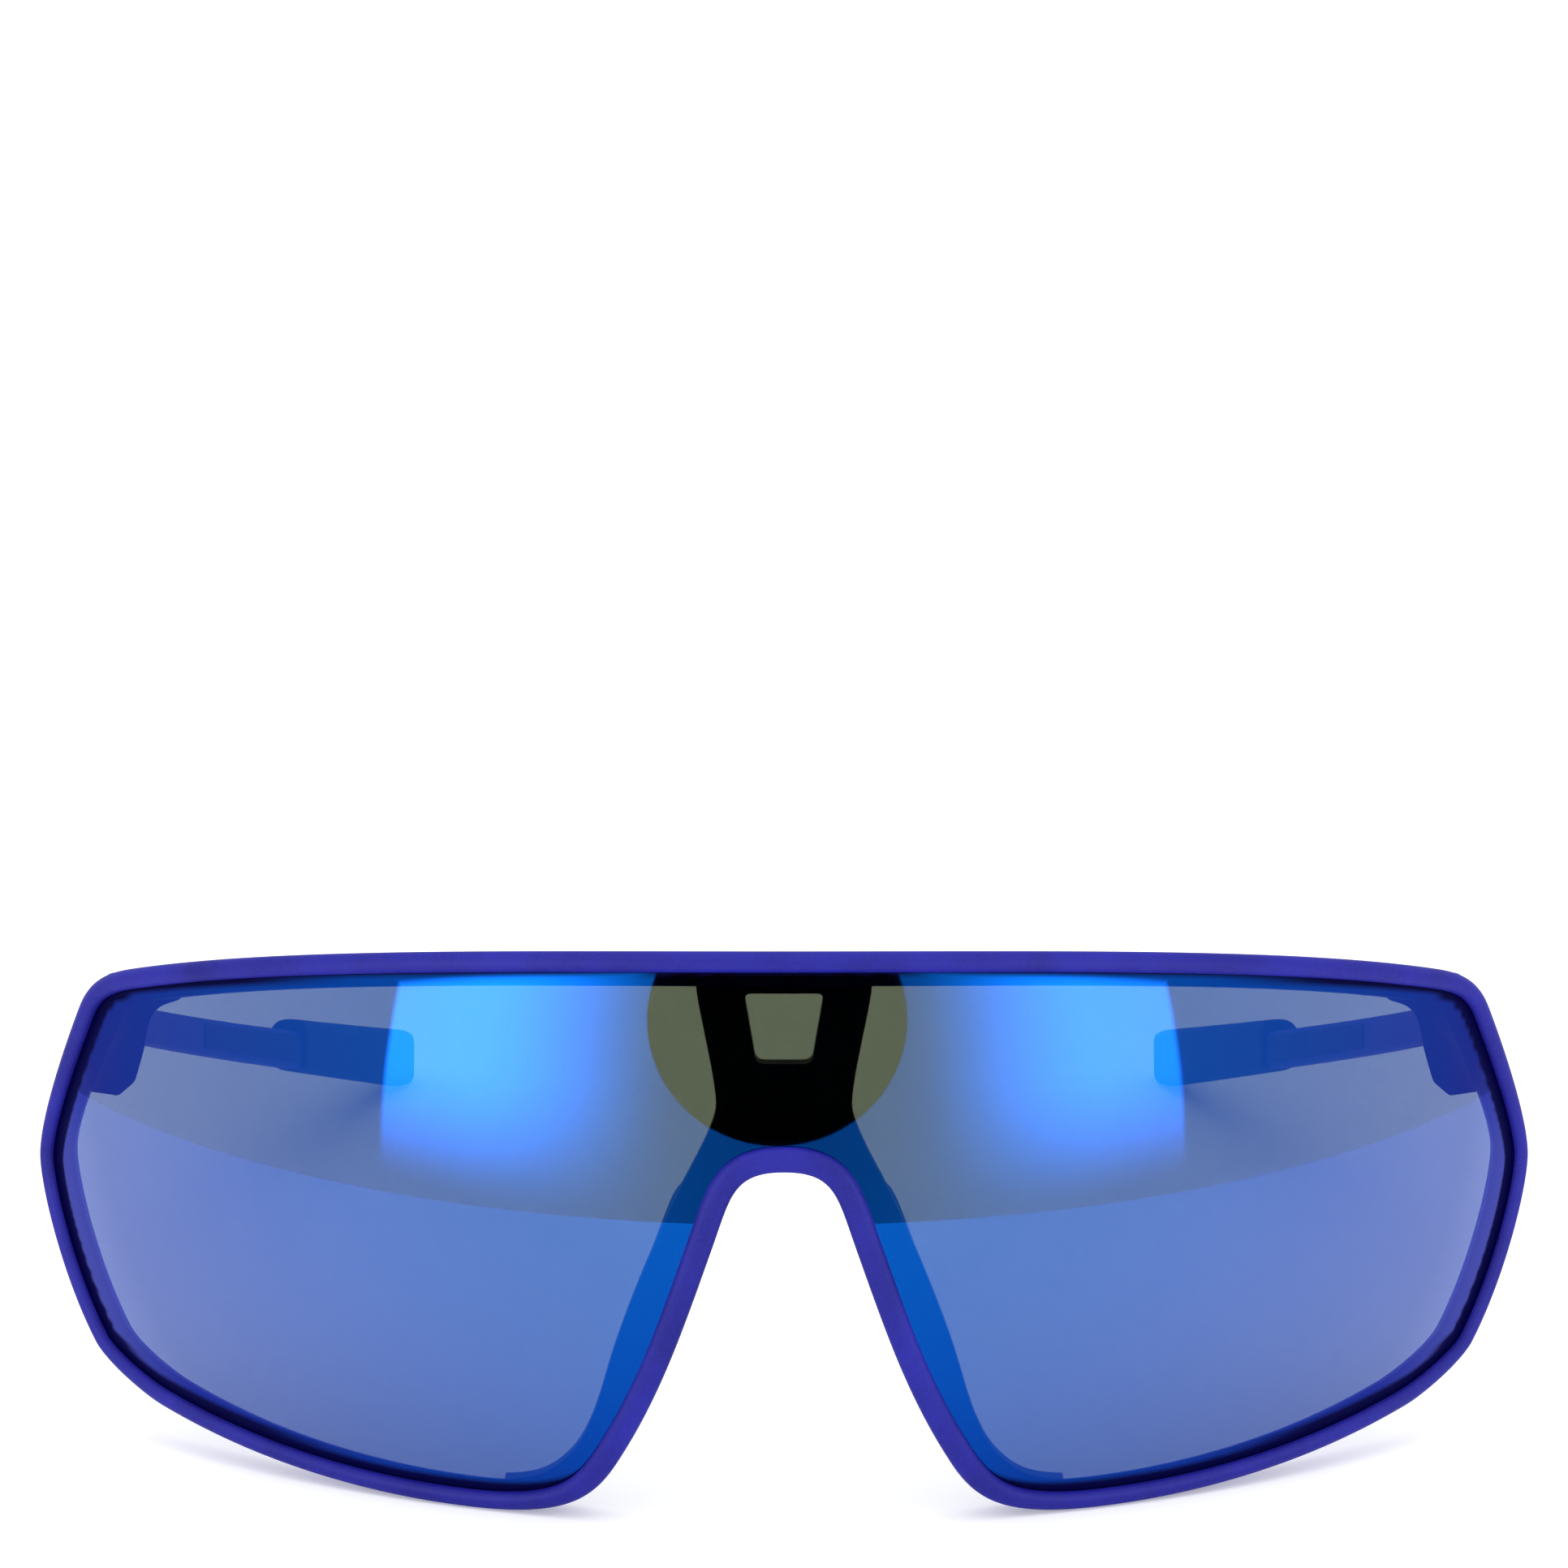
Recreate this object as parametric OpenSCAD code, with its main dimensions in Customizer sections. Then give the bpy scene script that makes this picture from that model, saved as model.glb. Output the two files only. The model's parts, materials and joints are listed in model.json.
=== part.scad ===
// Wraparound sport sunglasses, standing open on a table.
// The front stands on its two lower lobes and the arms slope down to their tips.
// +X is the wearer's left, the front faces -Y, +Z is up.
// Origin: on the table, under the middle of the whole pair.

/* [Lens] */
// Radius of the lens's outer face, the same both ways
lens_r = 92; // [90:0.5:112]
// Lens thickness
lens_t = 2; // [1.6:0.1:2.6]
// Height of the lens's centre of curvature above the table
lens_centre_z = 23.6; // [18:0.2:30]

/* [Front] */
// Overall width of the front
front_w = 142.2; // [120:0.2:172]
// Overall height of the front
front_h = 53.3; // [46:0.1:66]
// Drop from the middle of the top edge to the outer corners
brow_drop = 6.8; // [5:0.1:9]
// Height of the widest place
widest_z = 26.2; // [22:0.1:29]
// Height of the lower outer corners
cheek_z = 8.8; // [7.5:0.1:11]
// Distance of each lower lobe from the middle
lobe_x = 29; // [27:0.5:34]
// Height of the bridge, from the top of the nose notch to the top edge
bridge_h = 19.3; // [17:0.1:24]
// Half width of the nose notch at its mouth
notch_low = 15.2; // [13.5:0.1:17]
// Half width of the nose notch near its top
notch_high = 6.4; // [5.5:0.1:8]

/* [Rim] */
// Width of the rim's face along the top
rim_top = 1.9; // [1.6:0.1:2.4]
// Width of the rim's face at the sides
rim_side = 1.5; // [1.4:0.1:2.2]
// Width of the rim's face along the bottom
rim_low = 1.7; // [1.5:0.1:2.4]
// Width of the rim's face round the nose
rim_nose = 2.3; // [1.8:0.1:2.8]
// How far the rim's crown stands proud of the lens
crown = 1.1; // [0.8:0.1:1.6]
// Thickness of the flange behind the lens
flange_t = 1.1; // [0.8:0.1:1.6]
// How far the flange reaches past the face along the top
flange_top = 1.1; // [0.6:0.1:1.6]
// How far the flange reaches past the face at the sides
flange_side = 0.4; // [0.3:0.1:1.2]
// How far the flange reaches past the face at the bottom and nose
flange_low = 0.3; // [0.2:0.1:0.8]

/* [Nose bridge] */
// Thickness of the carrier
carrier_t = 1.6; // [1.2:0.1:2]
// Half width of the post where it leaves the top flange
post_top = 7.9; // [6:0.1:9]
// Half width of the post at its waist
post_waist = 6.1; // [5:0.1:7]
// Width of the wings beside the nose notch
wing_w = 4.2; // [3.2:0.1:5.2]
// Height of the vent in the post
vent_h = 6.2; // [4:0.1:7]
// Half width of the vent at its top
vent_top = 3.6; // [2.8:0.1:4.2]
// Half width of the vent at its bottom
vent_low = 2.5; // [2:0.1:3.2]
// Distance of the vent's top below the top edge of the front
vent_drop = 4.2; // [3.8:0.1:5]
// Thickness of a nose pad
pad_t = 1.5; // [1.2:0.1:2]
// Depth of a nose pad at its middle, front to back
pad_d = 9; // [7:0.1:11]
// How far a nose pad flares sideways to its back edge
pad_flare = 1.5; // [1:0.1:2.4]

/* [Hinge] */
// Distance of each hinge axis in from the widest place of the front
hinge_inset = 7.2; // [7:0.1:12]
// Distance of each hinge axis behind the edge of the front there
hinge_behind = 9.1; // [8:0.1:16]
// Height of the middle of the hinges above the table
hinge_z = 36.8; // [33:0.1:38]
// Height of the end block and of the arm's root
root_h = 9.4; // [8.8:0.1:12]
// Thickness of the arm's root
root_t = 3.6; // [3.4:0.1:4.4]
// Radius of the hinge barrel
barrel_r = 1.5; // [1.3:0.05:1.8]
// Height of the hinge barrel
barrel_h = 7.6; // [6:0.1:8]
// Height of the middle knuckle
knuckle_h = 3.8; // [2.4:0.1:4.4]
// Radius of the hinge screw
screw_r = 0.7; // [0.6:0.05:0.9]
// Radius of the hinge screw's head
head_r = 1.2; // [1:0.05:1.4]
// Height of the hinge screw's head
head_h = 0.8; // [0.5:0.05:0.9]
// Thickness of the hinge leaves
leaf_t = 0.9; // [0.6:0.05:1]
// Length of the hinge leaves set in the plastic
leaf_len = 5; // [4.6:0.1:6.5]

/* [Arm] */
// Length of an arm behind its hinge
arm_len = 118; // [95:0.5:142]
// How far an arm's tip lies nearer the middle than its root
arm_converge = 19.9; // [10:0.1:22]
// Height of the arm where it is slimmest
arm_slim = 3.3; // [2.8:0.1:4.2]
// Height of the arm where it enters the sleeve
arm_rear = 4.2; // [4:0.1:5.2]
// Thickness of the arm
arm_t = 3.2; // [2.8:0.1:4]
// Length of the flare behind the hinge
flare_len = 12; // [10:0.5:16]
// Distance of the inlay's front end behind the hinge
inlay_from = 39; // [30:0.5:46]
// Thickness of the inlay
inlay_t = 0.8; // [0.5:0.05:1]
// Length of the rubber sleeve
sleeve_len = 41; // [34:0.5:50]
// Height of the sleeve at its front end
sleeve_front_h = 5.8; // [5.6:0.1:7]
// Height of the sleeve at its rear end
sleeve_rear_h = 6.8; // [6:0.1:8.6]
// Thickness of the sleeve, inner face to outer face
sleeve_t = 4.4; // [4.2:0.1:5.2]
// Radius of the steel core wire
wire_r = 0.6; // [0.4:0.05:0.7]

/* [Clearances] */
// Gap between the lens and its groove
lens_gap = 0.1; // [0.1:0.01:0.15]
// Gap between pieces that are clipped or bonded together
seat_gap = 0.05; // [0.03:0.01:0.1]
// Gap between the arm's root and the end block
root_gap = 0.25; // [0.2:0.05:0.4]
// Radial clearance of the hinge screw in its bores
bore_gap = 0.05; // [0.03:0.01:0.08]
// Radial room round the hinge barrel
barrel_gap = 0.3; // [0.2:0.05:0.4]

/* [Hidden] */
$fn = 48;

frame_colour = [0.20, 0.21, 0.62];
lens_colour = [0.35, 0.53, 0.80, 0.8];
carrier_colour = [0.06, 0.06, 0.10];
rubber_colour = [0.08, 0.08, 0.12];
steel_colour = [0.75, 0.76, 0.78];

// ---- Curves and lofts ----

function lerp(a, b, t) = a + (b - a) * t;
function ease(t) = let (u = max(0, min(1, t))) u * u * (3 - 2 * u);
function unit(v) = v / norm(v);
function heading(a) = [cos(a), sin(a)];

// One cubic stretch between two knots. A knot is
// [x, z, heading, reach behind, reach ahead, other values...].
function stretch(a, b, t) =
    let (
        p0 = [a[0], a[1]],
        p3 = [b[0], b[1]],
        p1 = p0 + a[4] * heading(a[2]),
        p2 = p3 - b[3] * heading(b[2]),
        u = 1 - t
    )
    u * u * u * p0 + 3 * u * u * t * p1 + 3 * u * t * t * p2 + t * t * t * p3;

// Points along a run of knots, with any further values eased from knot to knot.
function run(knots, steps) = [
    for (k = [0 : len(knots) - 2], i = [0 : steps - 1])
        let (t = i / steps, a = knots[k], b = knots[k + 1])
        concat(
            stretch(a, b, t),
            [for (j = [5 : 1 : len(a) - 1]) lerp(a[j], b[j], ease(t))]
        )
];

// Triangles that skin a list of rings, closed by an end cap at each end.
function skin(rings, m) = [
    for (i = [0 : rings - 2], j = [0 : m - 1])
        let (a = i * m + j, b = i * m + (j + 1) % m)
        each [[a, b, a + m], [b, b + m, a + m]]
];
function caps(rings, m) = concat(
    [for (j = [1 : m - 2]) [0, j + 1, j]],
    [for (j = [1 : m - 2]) let (k = (rings - 1) * m) [k, k + j, k + j + 1]]
);

module loft(rings) {
    m = len(rings[0]);
    polyhedron([for (r = rings) each r], concat(skin(len(rings), m), caps(len(rings), m)));
}

// A closed loop of rings: the last one joins the first.
module loop_loft(rings) {
    m = len(rings[0]);
    n = len(rings);
    polyhedron(
        [for (r = rings) each r],
        [
            for (i = [0 : n - 1], j = [0 : m - 1])
                let (k = (i + 1) % n, j2 = (j + 1) % m)
                each [[i * m + j, i * m + j2, k * m + j], [i * m + j2, k * m + j2, k * m + j]]
        ]
    );
}

// ---- Outline of the front, on the lens's sphere ----

half_w = front_w / 2;
notch_z = front_h - bridge_h;
// Right half, clockwise from the middle of the top to the top of the notch:
// x, z, heading, reach behind, reach ahead, face width, flange.
outline_knots = [
    [0, front_h, 0, 0, 21.5, rim_top, flange_top],
    [half_w - 11, front_h - brow_drop, -18, 17, 3, rim_top, flange_top],
    [half_w - 4.5, front_h - brow_drop - 5, -68, 3.5, 4, rim_top, flange_side],
    [half_w, widest_z, -90, 3.5, 3.5, rim_side, flange_side],
    [half_w - 5.5, cheek_z, -120, 6, 2, rim_side, flange_side],
    [half_w - 12.4, cheek_z - 4.6, -163, 2, 10, rim_low, flange_low],
    [lobe_x, 0, 180, 10, 8.5, rim_low, flange_low],
    [notch_low, 5.8, 120, 5, 8, rim_nose, flange_low],
    [notch_high, notch_z - 6.9, 109, 9, 5, rim_nose, flange_low],
    [0, notch_z, 180, 4.5, 0, rim_nose, flange_low]
];
// A wider front gets more steps, so that the flats between them stay short.
outline_steps = ceil(front_w / 18);
half_outline = concat(
    run(outline_knots, outline_steps),
    [[0, notch_z, rim_nose, flange_low]]
);
last = len(half_outline) - 1;

centre = [0, lens_r, lens_centre_z];
// The rim is widest this far over the lens's outer face.
edge_height = 0.5;
// The point of the sphere through the rim's widest edge that lies over x, z.
function on_sphere(x, z) =
    let (r = lens_r + edge_height, q = z - lens_centre_z)
    [x, lens_r - sqrt(r * r - x * x - q * q), z];

hinge_x = half_w - hinge_inset;
hinge_back = on_sphere(half_w, widest_z)[1] + hinge_behind;

// A station: outward direction, inward direction along the sphere, face width, flange.
function station(i) =
    let (
        a = half_outline[max(0, i - 1)],
        b = half_outline[min(last, i + 1)],
        p = half_outline[i],
        along = i == 0 || i == last ? [i == 0 ? 1 : -1, 0, 0]
            : unit(on_sphere(b[0], b[1]) - on_sphere(a[0], a[1])),
        out = unit(on_sphere(p[0], p[1]) - centre)
    )
    [out, unit(cross(along, out)), p[2], p[3]];
half_stations = [for (i = [0 : last]) station(i)];
function flip(v) = [-v[0], v[1], v[2]];
stations = concat(
    half_stations,
    [for (i = [last - 1 : -1 : 1]) let (s = half_stations[i]) [flip(s[0]), flip(s[1]), s[2], s[3]]]
);

// The point a distance in from the outer edge and a height above the lens's outer face.
function at(s, inward, height) =
    let (a = inward / lens_r * 180 / PI)
    centre + (lens_r + height) * (cos(a) * s[0] + sin(a) * s[1]);

lip = crown / 2;
groove = 0.9;
back = lens_t + 2 * lens_gap + flange_t;
function rim_profile(w, f) = [
    [0.2, -back],
    [0, 0.5 - back],
    [0, edge_height],
    [0.3, crown - 0.3],
    [w * 0.45, crown],
    [w - 0.3, crown - 0.15],
    [w, lip],
    [w, lens_gap],
    [groove, lens_gap],
    [groove, -lens_t - lens_gap],
    [w + f, -lens_t - lens_gap],
    [w + f, -back]
];
function rim_ring(s) = [for (q = rim_profile(s[2], s[3])) at(s, q[0], q[1])];
rim_rings = [for (s = stations) rim_ring(s)];

// ---- Place of the whole pair on the table ----

front_low = min([for (r = rim_rings, p = r) p[2]]);
front_most = min([for (r = rim_rings, p = r) p[1]]);

// ---- Arm shape, in the arm's own frame: hinge axis along Z, arm along +Y ----

sleeve_from = arm_len - sleeve_len;
tip_round = 3;
// The arm's core goes into the sleeve, which has walls this thick and a solid tip this long.
sleeve_wall = 1.1;
tip_solid = 8;
// The core is this much lower than the arm where it is slimmest.
core_step = 0.5;
// The sleeve hangs this far below the arm's lower edge at its front end.
sleeve_under = 0.2;
// The arm's middle rises by this much over the flare, and the bow grows with this power.
arm_rise = 0.4;
bow_power = 1.6;
core_end = arm_len - tip_solid;
core_t = sleeve_t - 2 * sleeve_wall;
core_h = arm_slim - core_step;
// The root's inner face lies this far outside the hinge axis.
root_inner = 0.2;
arm_mid = root_inner + root_t / 2;

// Sideways place of the arm's middle line, from the hinge axis.
function bow(s) = arm_mid - arm_converge * pow(max(0, s) / arm_len, bow_power);
function flare(s) = 1 - ease(s / flare_len);
function arm_h(s) = lerp(lerp(arm_slim, arm_rear, s / sleeve_from), root_h, flare(s));
function arm_z(s) = arm_rise * (1 - flare(s));
function arm_thick(s) = lerp(arm_t, root_t, flare(s));
function sleeve_h(s) = lerp(sleeve_front_h, sleeve_rear_h, (s - sleeve_from) / (sleeve_len - tip_round));
function sleeve_z(s) = arm_z(s) + (sleeve_front_h - arm_rear) / 2 - sleeve_under;

// A rounded rectangle across the arm: its place along the arm, its sides' x, its middle's z,
// its height and its corner radius.
function section(s, x0, x1, z, h, r) = [
    for (c = [0 : 3], k = [0 : 2])
        let (
            a = c * 90 + k * 45,
            cx = c == 0 || c == 3 ? x1 - r : x0 + r,
            cz = c < 2 ? z + h / 2 - r : z - h / 2 + r
        )
        [cx + r * cos(a), s, cz + r * sin(a)]
];
function arm_ring(s, cut) =
    let (t = arm_thick(s), x = bow(s))
    section(s, x - t / 2 + cut, x + t / 2, arm_z(s), arm_h(s), min(1, t / 3));
function core_ring(s, grow) =
    section(s, bow(s) - core_t / 2 - grow, bow(s) + core_t / 2 + grow, sleeve_z(s), core_h + 2 * grow, 0.6);
function wire_ring(s, r) = [
    for (k = [0 : 11])
        [bow(s) + r * cos(k * 30), s, sleeve_z(s) + r * sin(k * 30)]
];
function sleeve_ring(s, size) =
    section(s, bow(s) - sleeve_t / 2 * size, bow(s) + sleeve_t / 2 * size, sleeve_z(s),
        sleeve_h(s) * size, 1.5 * size);

function steps(from, to, n) = [for (i = [0 : n]) lerp(from, to, i / n)];
sleeve_rings = concat(
    [sleeve_ring(sleeve_from, 0.9)],
    [for (s = steps(sleeve_from + 0.6, arm_len - tip_round, 12)) sleeve_ring(s, 1)],
    [for (a = [25, 50, 70, 82]) sleeve_ring(arm_len - tip_round * (1 - sin(a)), cos(a))]
);

// The slope at which the lowest place of the sleeve just meets the table.
slope = min([
    for (r = sleeve_rings, p = r)
        let (d = -p[2], s = p[1])
        if (s > arm_len / 2) asin((hinge_z - front_low) / norm([s, d])) - atan2(d, s)
]);
rear_most = hinge_back + max([for (r = sleeve_rings, p = r) p[1] * cos(slope) + p[2] * sin(slope)]);
middle_y = (front_most + rear_most) / 2;

module on_table() {
    translate([0, -middle_y, -front_low]) children();
}
// Puts the left arm's frame in place.
module at_hinge() {
    on_table() translate([hinge_x, hinge_back, hinge_z]) rotate([-slope, 0, 0]) children();
}
module other_side() {
    mirror([1, 0, 0]) children();
}

// ---- Front ----

module front_frame() {
    color(frame_colour) on_table() loop_loft(rim_rings);
}

// The lens is a spherical shell, cut by a cone from its centre of curvature.
lens_edge = groove + lens_gap;
cone_face_y = -10;
module lens_cone() {
    rays = [for (s = stations) at(s, lens_edge, 0) - centre];
    points = [for (r = rays) centre + r * (cone_face_y - lens_r) / r[1]];
    n = len(points);
    polyhedron(
        concat(points, [centre]),
        concat(
            [for (i = [0 : n - 1]) [(i + 1) % n, i, n]],
            [for (i = [1 : n - 2]) [0, i, i + 1]]
        )
    );
}
// A ball about the lens's centre of curvature.
module ball(r) {
    translate(centre) sphere(r, $fn = 360);
}
module shell(outer, inner) {
    difference() {
        ball(outer);
        ball(inner);
    }
}
module shield_lens() {
    color(lens_colour) on_table() intersection() {
        lens_cone();
        shell(lens_r, lens_r - lens_t);
    }
}

// ---- Nose bridge ----

carrier_front = lens_t + lens_gap + seat_gap;
carrier_back = carrier_front + carrier_t;
wing_in = rim_nose + flange_low + seat_gap;
// The wings run out along the lower lobes.
wing_end = round(6.3 * outline_steps);
// A point beside the flange, clear of it at both faces of the carrier.
function beside_flange(s, gap) = at(s, s[2] + s[3] + gap, s[1][1] < 0 ? -back : -carrier_front);
post_z = min([for (i = [0 : 2]) beside_flange(half_stations[i], 2 * seat_gap)[2]]);
// Edge of the carrier along the nose notch, from the lobe up to the middle.
carrier_inner = [
    for (i = [wing_end : last])
        let (p = beside_flange(half_stations[i], seat_gap))
        [p[0], p[2]]
];
// Outer edge of the carrier, from the top flange down to the lobe.
wing_tip_h = 0.8;
// How far the post's waist lies below its top, and the shoulder below the top of the notch.
waist_drop = 10.2;
shoulder_drop = 3.5;
// How far the wings stand out past the flange, beside the top of the notch and half way down.
wing_high_w = 0.9;
wing_half_w = 2.4;
wing_half_z = 15;
// Where they turn along the lobes they are narrower by this much.
foot_narrows = 3.6;
foot_z = 6;
edge_w = rim_nose + flange_low;
wing_low = beside_flange(half_stations[wing_end], seat_gap + wing_tip_h);
carrier_outer = concat(
    run([
        [post_top, post_z, -97, 0, 2.5],
        [post_waist, post_z - waist_drop, -90, 2.5, 2],
        [notch_high + edge_w + wing_high_w, notch_z - shoulder_drop, -66, 2.5, 5],
        [(notch_high + notch_low) / 2 + edge_w + wing_half_w, wing_half_z, -74, 5, 2.5],
        [notch_low + edge_w + wing_w - foot_narrows, foot_z, -55, 2.5, 2.4],
        [wing_low[0], wing_low[2], -14, 2.4, 0]
    ], 5),
    [[wing_low[0], wing_low[2]]]
);
function mirror_back(list) = [for (i = [len(list) - 1 : -1 : 0]) [-list[i][0], list[i][1]]];
carrier_half = concat(carrier_outer, carrier_inner);
carrier_shape = concat(
    carrier_half,
    mirror_back([for (i = [0 : len(carrier_half) - 2]) carrier_half[i]])
);

// A quarter of a round corner of the vent.
function corner(x, z, r, a0) = [for (k = [0 : 4]) [x, z] + r * heading(a0 - k * 22.5)];
vent_r = 0.6;
vent_z = front_h - vent_drop;
vent_right = concat(
    corner(vent_top - vent_r, vent_z - vent_r, vent_r, 90),
    corner(vent_low - vent_r, vent_z - vent_h + vent_r, vent_r, 0)
);
vent_shape = concat(vent_right, mirror_back(vent_right));

// Flat shapes are drawn out from ahead of the front to this far behind it.
drawn_back = 30;
drawn_ahead = 10;
module extrude_back(shape, depth) {
    translate([0, depth, 0]) rotate([90, 0, 0]) linear_extrude(depth + drawn_ahead) polygon(shape);
}
module nose_bridge() {
    color(carrier_colour) on_table() intersection() {
        difference() {
            extrude_back(carrier_shape, drawn_back);
            extrude_back(vent_shape, drawn_back + 1);
        }
        shell(lens_r - carrier_front, lens_r - carrier_back);
    }
}

// A nose pad runs down the back of a wing and flares outwards to its back edge.
pad_from = round(7.35 * outline_steps);
pad_to = round(8.25 * outline_steps);
module nose_pad_left() {
    rings = [
        for (i = [pad_from : pad_to])
            let (
                s = half_stations[i],
                u = (i - pad_from) / (pad_to - pad_from),
                full = 0.45 + 0.55 * sin(180 * u),
                d = pad_d * full,
                f = pad_flare * full,
                x = wing_in + 0.3,
                h = -carrier_back - seat_gap
            )
            [
                at(s, x, h),
                at(s, x + f * 0.35, h - d * 0.5),
                at(s, x + f, h - d * 0.95),
                at(s, x + f + pad_t * 0.5, h - d),
                at(s, x + f + pad_t, h - d * 0.9),
                at(s, x + f * 0.45 + pad_t, h - d * 0.5),
                at(s, x + pad_t, h)
            ]
    ];
    color(rubber_colour) on_table() loft(rings);
}
module nose_pad_right() {
    other_side() nose_pad_left();
}

// ---- Hinge ----

leaf_x = barrel_r - leaf_t;
leaf_clear = barrel_r + barrel_gap;
// The plate is lower than the barrel, and the webs run this far into it.
plate_step = 0.4;
web_reach = 0.2;
leaf_h = barrel_h - 2 * plate_step;
knuckle_gap = seat_gap;
ear_h = (barrel_h - knuckle_h) / 2 - knuckle_gap;

module barrel_pocket() {
    cylinder(r = leaf_clear, h = 2 * root_h, center = true);
}
// A leaf's plate, set in the plastic on one side of the axis: 1 behind it, -1 in front.
module leaf_plate(side, grow) {
    y = side > 0 ? leaf_clear : -leaf_len - grow;
    translate([leaf_x - grow, y, -leaf_h / 2 - grow])
        cube([leaf_t + 2 * grow, leaf_len - leaf_clear + grow, leaf_h + 2 * grow]);
}
module leaf_web(side, z, h) {
    translate([leaf_x, side > 0 ? 0 : -leaf_clear - web_reach, z])
        cube([leaf_t, leaf_clear + web_reach, h]);
}
// The slot also takes the webs that join the knuckles to the plate.
module leaf_slot(side) {
    room = leaf_clear + web_reach + seat_gap;
    leaf_plate(side, seat_gap);
    translate([leaf_x - seat_gap, side > 0 ? 0 : -room, -barrel_h / 2 - seat_gap])
        cube([leaf_t + 2 * seat_gap, room, barrel_h + 2 * seat_gap]);
}

// The end block widens forwards to the slanting outline of the front,
// and it is trimmed to the back of the rim.
module end_block_left() {
    inner = root_inner;
    outer = root_inner + root_t;
    top = root_h / 2;
    // It is drawn this far ahead of the hinge, where the rim is met on the way.
    ahead = -14;
    // Its inner side leans outwards, and its outer side keeps inside the widest place of
    // the front by these much, low down and high up.
    lean = 0.2;
    inside_low = 0.9;
    inside_high = 4.6;
    low_x = hinge_inset - inside_low;
    high_x = hinge_inset - inside_high;
    color(frame_colour) intersection() {
        at_hinge() difference() {
            polyhedron(
                [
                    [inner, -root_gap, -top], [outer, -root_gap, -top],
                    [outer, -root_gap, top], [inner, -root_gap, top],
                    [inner + lean, ahead, -top], [low_x, ahead, -top],
                    [high_x, ahead, top], [inner + lean, ahead, top]
                ],
                [
                    [0, 2, 1], [0, 3, 2], [4, 5, 6], [4, 6, 7],
                    [0, 1, 5], [0, 5, 4], [1, 2, 6], [1, 6, 5],
                    [2, 3, 7], [2, 7, 6], [3, 0, 4], [3, 4, 7]
                ]
            );
            barrel_pocket();
            leaf_slot(-1);
        }
        on_table() ball(lens_r - back - seat_gap);
    }
}
module end_block_right() {
    other_side() end_block_left();
}

module front_leaf_left() {
    color(steel_colour) at_hinge() difference() {
        union() {
            leaf_plate(-1, 0);
            for (z = [knuckle_h / 2 + knuckle_gap, -barrel_h / 2]) {
                translate([0, 0, z]) cylinder(r = barrel_r, h = ear_h);
                leaf_web(-1, z, ear_h);
            }
        }
        translate([0, 0, -barrel_h]) cylinder(r = screw_r, h = 2 * barrel_h);
        cylinder(r = screw_r + bore_gap, h = barrel_h);
    }
}
module front_leaf_right() {
    other_side() front_leaf_left();
}

module temple_leaf_left() {
    color(steel_colour) at_hinge() difference() {
        union() {
            leaf_plate(1, 0);
            cylinder(r = barrel_r, h = knuckle_h, center = true);
            leaf_web(1, -knuckle_h / 2, knuckle_h);
        }
        cylinder(r = screw_r + bore_gap, h = 2 * barrel_h, center = true);
    }
}
module temple_leaf_right() {
    other_side() temple_leaf_left();
}

module hinge_screw_left() {
    slot_w = 0.4;
    color(steel_colour) at_hinge() difference() {
        union() {
            translate([0, 0, -barrel_h / 2]) cylinder(r = screw_r, h = barrel_h);
            translate([0, 0, barrel_h / 2]) cylinder(r = head_r, h = head_h);
        }
        translate([-2 * head_r, -slot_w / 2, barrel_h / 2 + head_h / 2])
            cube([4 * head_r, slot_w, head_h]);
    }
}
module hinge_screw_right() {
    other_side() hinge_screw_left();
}

// ---- Arm ----

module temple_left() {
    rings = concat(
        [for (s = concat([root_gap - 0.1], steps(1.5, flare_len, 8))) arm_ring(s, 0)],
        [for (s = steps(flare_len + 3, inlay_from, 2)) arm_ring(s, 0)],
        [for (s = steps(inlay_from + 0.1, sleeve_from - 0.2, 8)) arm_ring(s, inlay_t + seat_gap)],
        [for (s = steps(sleeve_from - 0.1, core_end, 12)) core_ring(s, 0)],
        [for (s = steps(core_end - 0.01, sleeve_from - 4, 12)) wire_ring(s, wire_r + seat_gap)]
    );
    color(frame_colour) at_hinge() difference() {
        loft(rings);
        barrel_pocket();
        leaf_slot(1);
    }
}
module temple_right() {
    other_side() temple_left();
}

module temple_inlay_left() {
    rings = [
        for (s = steps(inlay_from + 0.2, sleeve_from - 0.3, 8))
            let (x = bow(s) - arm_thick(s) / 2)
            section(s, x - 0.1, x + inlay_t, arm_z(s), arm_h(s) - 0.5, 0.25)
    ];
    color(rubber_colour) at_hinge() loft(rings);
}
module temple_inlay_right() {
    other_side() temple_inlay_left();
}

module tip_wire_left() {
    color(steel_colour) at_hinge()
        loft([for (s = steps(sleeve_from - 3.9, core_end - 0.1, 12)) wire_ring(s, wire_r)]);
}
module tip_wire_right() {
    other_side() tip_wire_left();
}

module tip_sleeve_left() {
    cavity = [
        for (s = steps(core_end + 0.1, sleeve_from + 0.05, 12)) core_ring(s, seat_gap)
    ];
    color(rubber_colour) at_hinge() loft(concat(cavity, sleeve_rings));
}
module tip_sleeve_right() {
    other_side() tip_sleeve_left();
}

front_frame();
shield_lens();
nose_bridge();
nose_pad_left();
nose_pad_right();
end_block_left();
end_block_right();
front_leaf_left();
front_leaf_right();
hinge_screw_left();
hinge_screw_right();
temple_leaf_left();
temple_leaf_right();
temple_left();
temple_right();
temple_inlay_left();
temple_inlay_right();
tip_wire_left();
tip_wire_right();
tip_sleeve_left();
tip_sleeve_right();
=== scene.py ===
import json

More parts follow.
